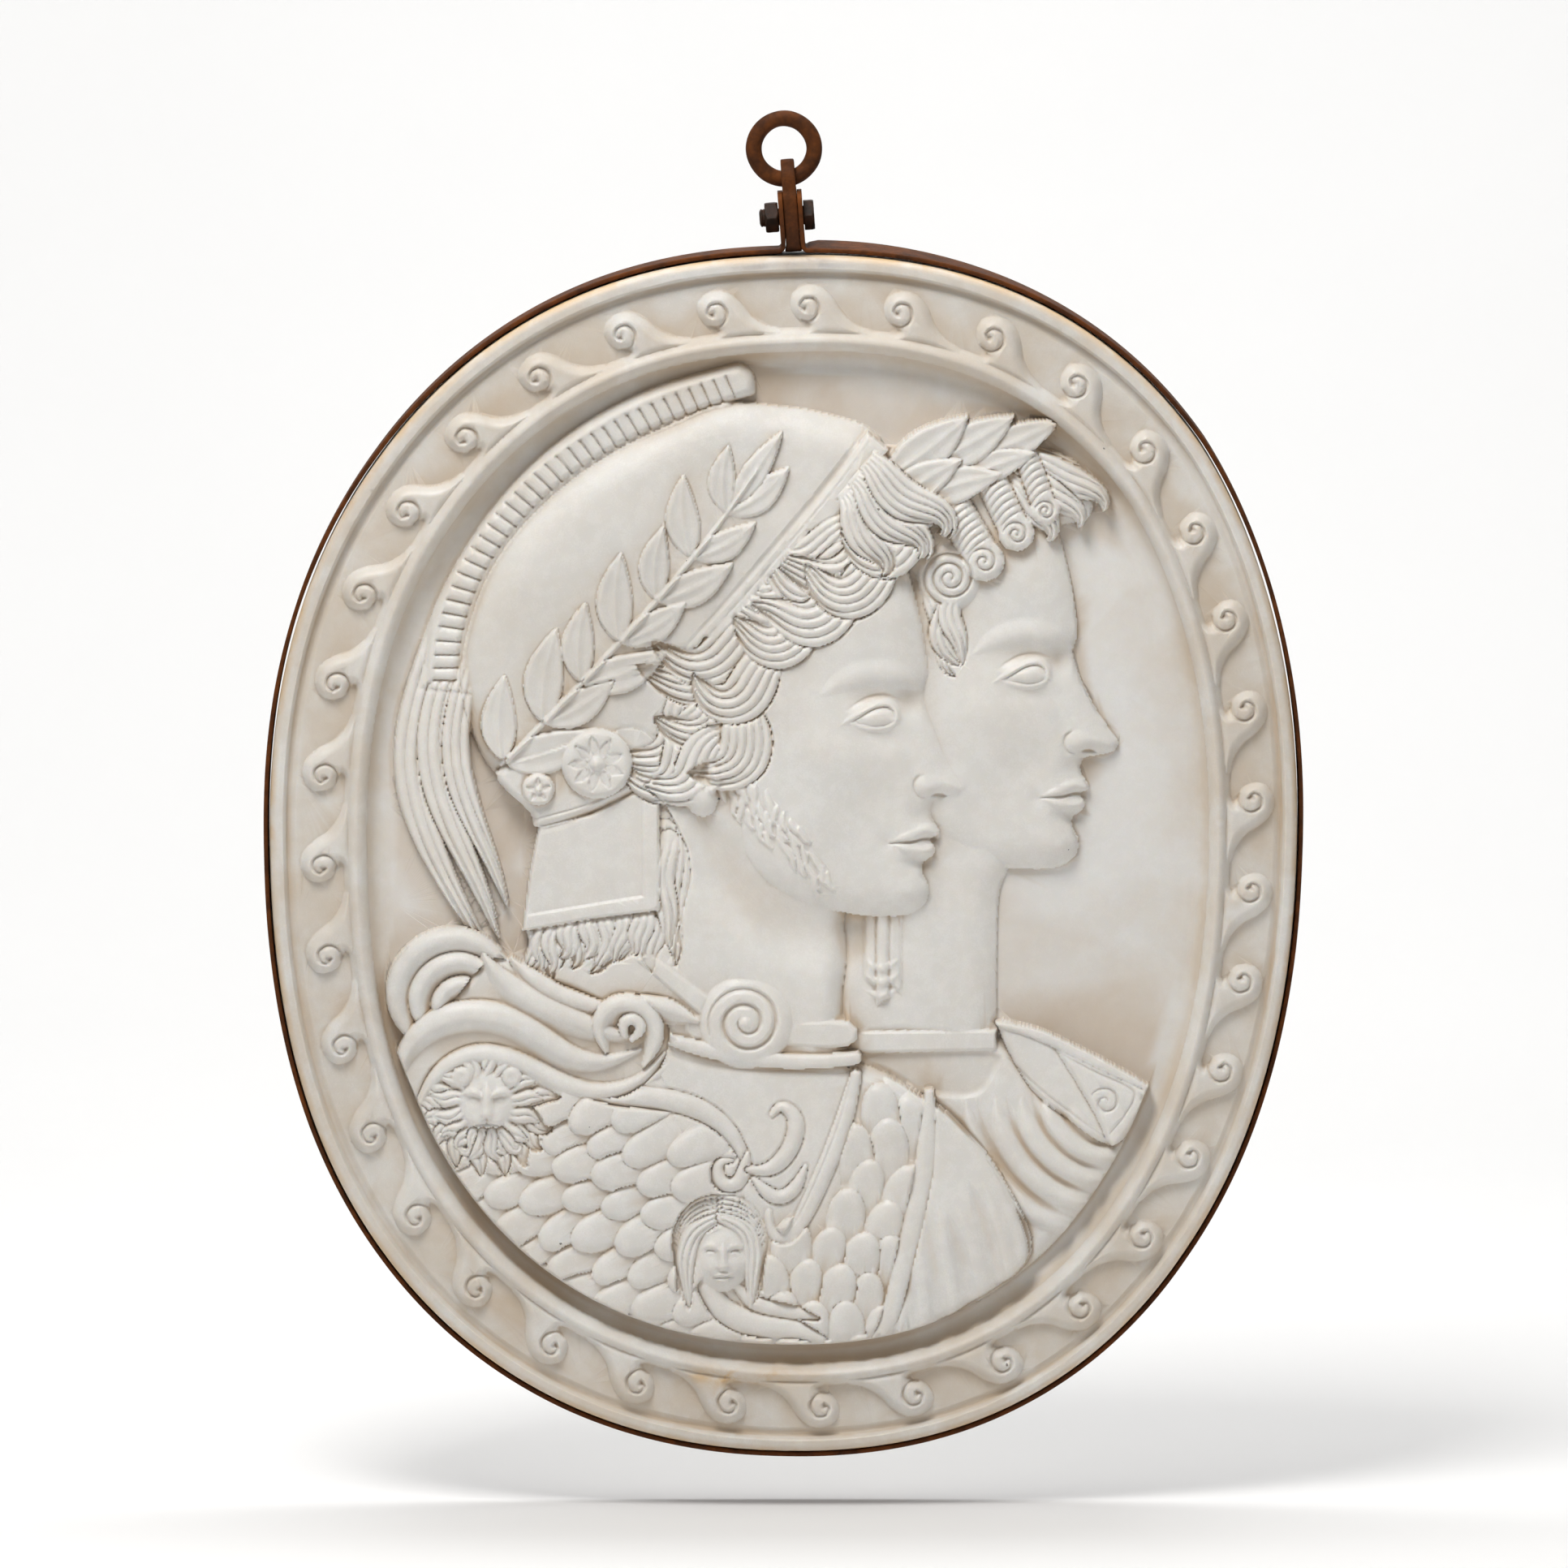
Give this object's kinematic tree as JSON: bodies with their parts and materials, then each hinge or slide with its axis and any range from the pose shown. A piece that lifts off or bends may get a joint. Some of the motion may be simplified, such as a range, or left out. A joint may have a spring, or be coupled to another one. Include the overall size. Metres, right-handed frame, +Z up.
{
  "type": "marble relief plaque",
  "caption": "Oval marble wall plaque carved with two overlapping heads in a running-scroll border, bound by an iron band with a bolted hanging ring.",
  "frame": {"origin": "top of the inside of the hanging ring, where a hook bears", "axes": "the carved front faces -Y, +X runs to the right seen from the front, +Z is up"},
  "size_m": [0.6784, 0.0609, 0.8821],
  "materials": {
    "marble": "carved white marble, softly polished, with ochre stain in the recesses",
    "rusted_iron": "flat and round iron bar, rusted brown all over",
    "dark_iron": "dark iron bolt and nut, rubbed to bare metal in places"
  },
  "bodies": {
    "root": {"marble_plaque": "marble", "iron_band": "rusted_iron", "eye_bar": "rusted_iron", "hanging_ring": "rusted_iron", "hex_bolt": "dark_iron", "hex_nut": "dark_iron"}
  },
  "joints": []
}
